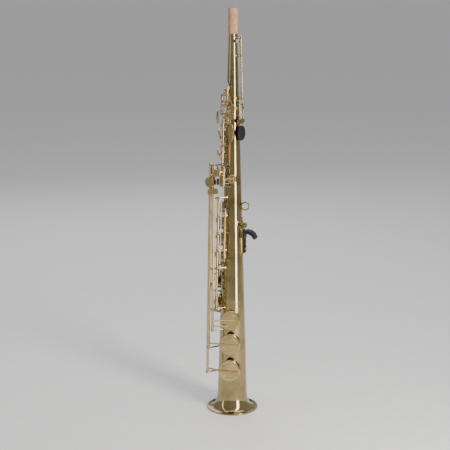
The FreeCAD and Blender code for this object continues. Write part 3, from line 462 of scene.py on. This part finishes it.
def needle_springs(ends):
    """Tapered wires that run from each end post along the underside of the key tube."""
    shape = bmesh.new()
    for low, high in ends:
        along = (high - low).normalized()
        reach = min(SPRING_LENGTH, (high - low).length * SPRING_SHARE)
        for tip, axis in ((low, along), (high, -along)):
            inward = -Vector((tip.x, tip.y, 0)).normalized()
            start = tip + axis * POST_REACH + inward * SPRING_OFFSET
            rings = []
            for step in range(SPRING_STEPS + 1):
                share = step / SPRING_STEPS
                lift = inward * (SPRING_LIFT * share * share)
                centre = start + axis * (reach * share) - lift
                radius = SPRING_RADIUS * (1 - SPRING_TAPER * share)
                rings.append(ring(centre, axis, radius, SPRING_SEGMENTS))
            sweep_rings(shape, rings)
    bmesh.ops.recalc_face_normals(shape, faces=shape.faces)
    add_piece("needle_spring_wires", shape, STEEL, "instrument")


# ---- neck cork -----------------------------------------------------------------------
CORK_SEGMENTS = 160
CORK_RINGS = 70
CORK_CHAMFER = 0.0007
CORK_INNER = 0.00545
CORK_FOOT = 0.0010            # wider inside at the foot, as the tube is
CORK_WAVE = 0.00006
SEAM_DEPTH = 0.00022
SEAM_ANGLE = 4.1
SEAM_LEAN = 0.5
SEAM_WIDTH = 0.03


def neck_cork():
    """Sheet cork wrapped round the tube, sanded not quite true, with its slanted glue seam."""
    low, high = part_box("neck_cork")
    outer = high.x
    height = high.z - low.z
    shape = bmesh.new()
    rings = []
    for step in range(CORK_RINGS + 1):
        share = step / CORK_RINGS
        z = low.z + height * share
        edge = min(share, 1 - share) * height
        chamfer = max(0.0, CORK_CHAMFER - edge) * 0.6
        points = []
        for index in range(CORK_SEGMENTS):
            angle = 2 * math.pi * index / CORK_SEGMENTS
            off = (angle - SEAM_ANGLE - SEAM_LEAN * share + math.pi) % (2 * math.pi) - math.pi
            seam = SEAM_DEPTH * math.exp(-(off / SEAM_WIDTH) ** 2)
            waves = math.sin(5 * angle + 9 * share) * math.sin(23 * share + 2 * angle)
            radius = outer - chamfer - seam - CORK_WAVE * (1 + waves)
            points.append(Vector((radius * math.cos(angle), radius * math.sin(angle), z)))
        rings.append(points)
    angles = [360.0 * index / CORK_SEGMENTS for index in range(CORK_SEGMENTS)]
    lip = [place(CORK_INNER, angle, high.z) for angle in angles]
    foot = [place(CORK_INNER + CORK_FOOT, angle, low.z) for angle in angles]
    rings = [foot] + rings + [lip]
    made = [[shape.verts.new(point) for point in points] for points in rings]
    made.append(made[0])
    for below, above in zip(made, made[1:]):
        for index in range(CORK_SEGMENTS):
            after = (index + 1) % CORK_SEGMENTS
            shape.faces.new((below[index], below[after], above[after], above[index]))
    piece = add_piece("neck_cork_sheet", shape, CORK, "instrument")
    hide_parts("neck_cork")


# ---- bell ----------------------------------------------------------------------------
WALL = 0.0008
BELL_JOINT_Z = 0.045
FLARE_START_Z = 0.036
FLARE_POWER = 2.0 / 2.6
FLARE_STEPS = 36
RIM_RADIUS = 0.042
RIM_INSIDE = 0.0399
RIM_HEIGHT = 0.0024
RIM_CORNER = 0.0009
RIM_STEPS = 8
BELL_SEGMENTS = 240


def flare(offset):
    """(radius, height) points from the cone's end out to the rim, as in the CAD."""
    middle = RIM_RADIUS - 0.0003
    across = middle - body_radius(FLARE_START_Z) + offset
    down = FLARE_START_Z - 0.0015 + offset
    reach = math.acos(((middle - RIM_INSIDE) / across) ** (1 / FLARE_POWER))
    turns = [reach * step / FLARE_STEPS for step in range(FLARE_STEPS + 1)]
    return [(middle - across * math.cos(t) ** FLARE_POWER,
             FLARE_START_Z - down * math.sin(t) ** FLARE_POWER) for t in turns]


def lathed(name, profile, replaced):
    """Closed outline of (radius, height) points, turned about the bore."""
    shape = bmesh.new()
    made = []
    for radius, height in profile:
        made.append([shape.verts.new(place(radius, 360.0 * index / BELL_SEGMENTS, height))
                     for index in range(BELL_SEGMENTS)])
    for below, above in zip(made, made[1:] + made[:1]):
        for index in range(BELL_SEGMENTS):
            after = (index + 1) % BELL_SEGMENTS
            shape.faces.new((below[index], below[after], above[after], above[index]))
    bmesh.ops.recalc_face_normals(shape, faces=shape.faces)
    piece = add_piece(name, shape, BODY_BRASS_PAINTED_SHADE, "instrument")
    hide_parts(replaced)


def bell():
    joint = body_radius(BELL_JOINT_Z)
    outside = [(joint, BELL_JOINT_Z)] + flare(0.0)
    inside = [(joint - WALL, BELL_JOINT_Z)] + flare(WALL)
    lathed("bell_flare", outside + inside[::-1], "bell")


def bell_rim():
    """Rolled bead: both outer corners are rounded, the underside stays flat to stand on."""
    centre = RIM_RADIUS - RIM_CORNER
    outline = [(RIM_INSIDE, 0.0)]
    for first_angle, height in ((-90, RIM_CORNER), (0, RIM_HEIGHT - RIM_CORNER)):
        for step in range(RIM_STEPS + 1):
            angle = math.radians(first_angle + 90 * step / RIM_STEPS)
            outline.append((centre + RIM_CORNER * math.cos(angle),
                            height + RIM_CORNER * math.sin(angle)))
    outline.append((RIM_INSIDE, RIM_HEIGHT))
    lathed("bell_rim_bead", outline, "bell_rim")


# ---- pad cups ------------------------------------------------------------------------
PAD_HALF = 0.001
CUP_TOP = 0.0021              # cup's crown above the middle of its pad
CUP_RING_SHARE = 0.66
CUP_RING_RADIUS = 0.00042
CUP_RING_STEPS = 48
CUP_RING_SEGMENTS = 8


def pad_discs(name):
    """Middle, outward normal and radius of each pad of a key."""
    discs = []
    for node_name in (name, name.replace("_key", "_pad")):
        if node_name in NODES:
            discs += [(middle + out * PAD_HALF, out, radius)
                      for middle, out, radius, _ in plugs(NODES[node_name].data)
                      if not is_pearl(name, radius)]
    return discs


def cup_rings():
    """A pressed ring on the crown of every pad cup."""
    for name in NODES:
        discs = pad_discs(name) if name.endswith("_key") else []
        if not discs:
            continue
        shape = bmesh.new()
        for middle, normal, radius in discs:
            side = normal.orthogonal().normalized()
            other = normal.cross(side)
            made = []
            for step in range(CUP_RING_STEPS):
                turn = 2 * math.pi * step / CUP_RING_STEPS
                out = side * math.cos(turn) + other * math.sin(turn)
                centre = middle + normal * CUP_TOP + out * (radius * CUP_RING_SHARE)
                section = []
                for index in range(CUP_RING_SEGMENTS):
                    angle = 2 * math.pi * index / CUP_RING_SEGMENTS
                    away = out * math.cos(angle) + normal * math.sin(angle)
                    section.append(shape.verts.new(centre + away * CUP_RING_RADIUS))
                made.append(section)
            for here, after in zip(made, made[1:] + made[:1]):
                for index in range(CUP_RING_SEGMENTS):
                    following = (index + 1) % CUP_RING_SEGMENTS
                    shape.faces.new((here[index], here[following], after[following], after[index]))
        bmesh.ops.recalc_face_normals(shape, faces=shape.faces)
        ring_name = name.replace("_key", "_cup_ring")
        add_piece(ring_name, shape, KEY_BRASS_PAINTED_HIGHLIGHT, name + "_body")


ROD_ENDS = rod_ends()
bell()
bell_rim()
cup_rings()
rod_screws(ROD_ENDS)
needle_springs(ROD_ENDS)
neck_cork()

# ---- stage ---------------------------------------------------------------------------
def floor():
    mesh = bpy.data.meshes.new("floor")
    shape = bmesh.new()
    bmesh.ops.create_circle(shape, cap_ends=True, segments=FLOOR_SEGMENTS, radius=FLOOR_RADIUS)
    shape.to_mesh(mesh)
    shape.free()
    piece = bpy.data.objects.new("floor", mesh)
    bpy.context.collection.objects.link(piece)
    mesh.materials.append(floor_material())


def area_light(name, position, target, width, height, power, colour):
    light = bpy.data.lights.new(name, "AREA")
    light.shape = "RECTANGLE"
    light.size = width
    light.size_y = height
    light.energy = power
    light.color = colour
    piece = bpy.data.objects.new(name, light)
    bpy.context.collection.objects.link(piece)
    piece.location = position
    aim = Vector(target) - Vector(position)
    piece.rotation_euler = aim.to_track_quat("-Z", "Y").to_euler()


def studio():
    floor()
    for light in LIGHTS:
        area_light(*light)
    world = bpy.data.worlds.new("studio_air")
    world.use_nodes = True
    background = world.node_tree.nodes["Background"]
    background.inputs["Color"].default_value = AIR_COLOUR
    background.inputs["Strength"].default_value = AIR_STRENGTH
    bpy.context.scene.world = world


def camera():
    data = bpy.data.cameras.new("photo_view")
    data.lens = CAMERA_LENS
    data.sensor_width = SENSOR_WIDTH
    piece = bpy.data.objects.new("photo_view", data)
    bpy.context.collection.objects.link(piece)
    piece.location = CAMERA_PLACE
    piece.rotation_euler = (CAMERA_TILT, 0.0, 0.0)
    bpy.context.scene.camera = piece


studio()
camera()
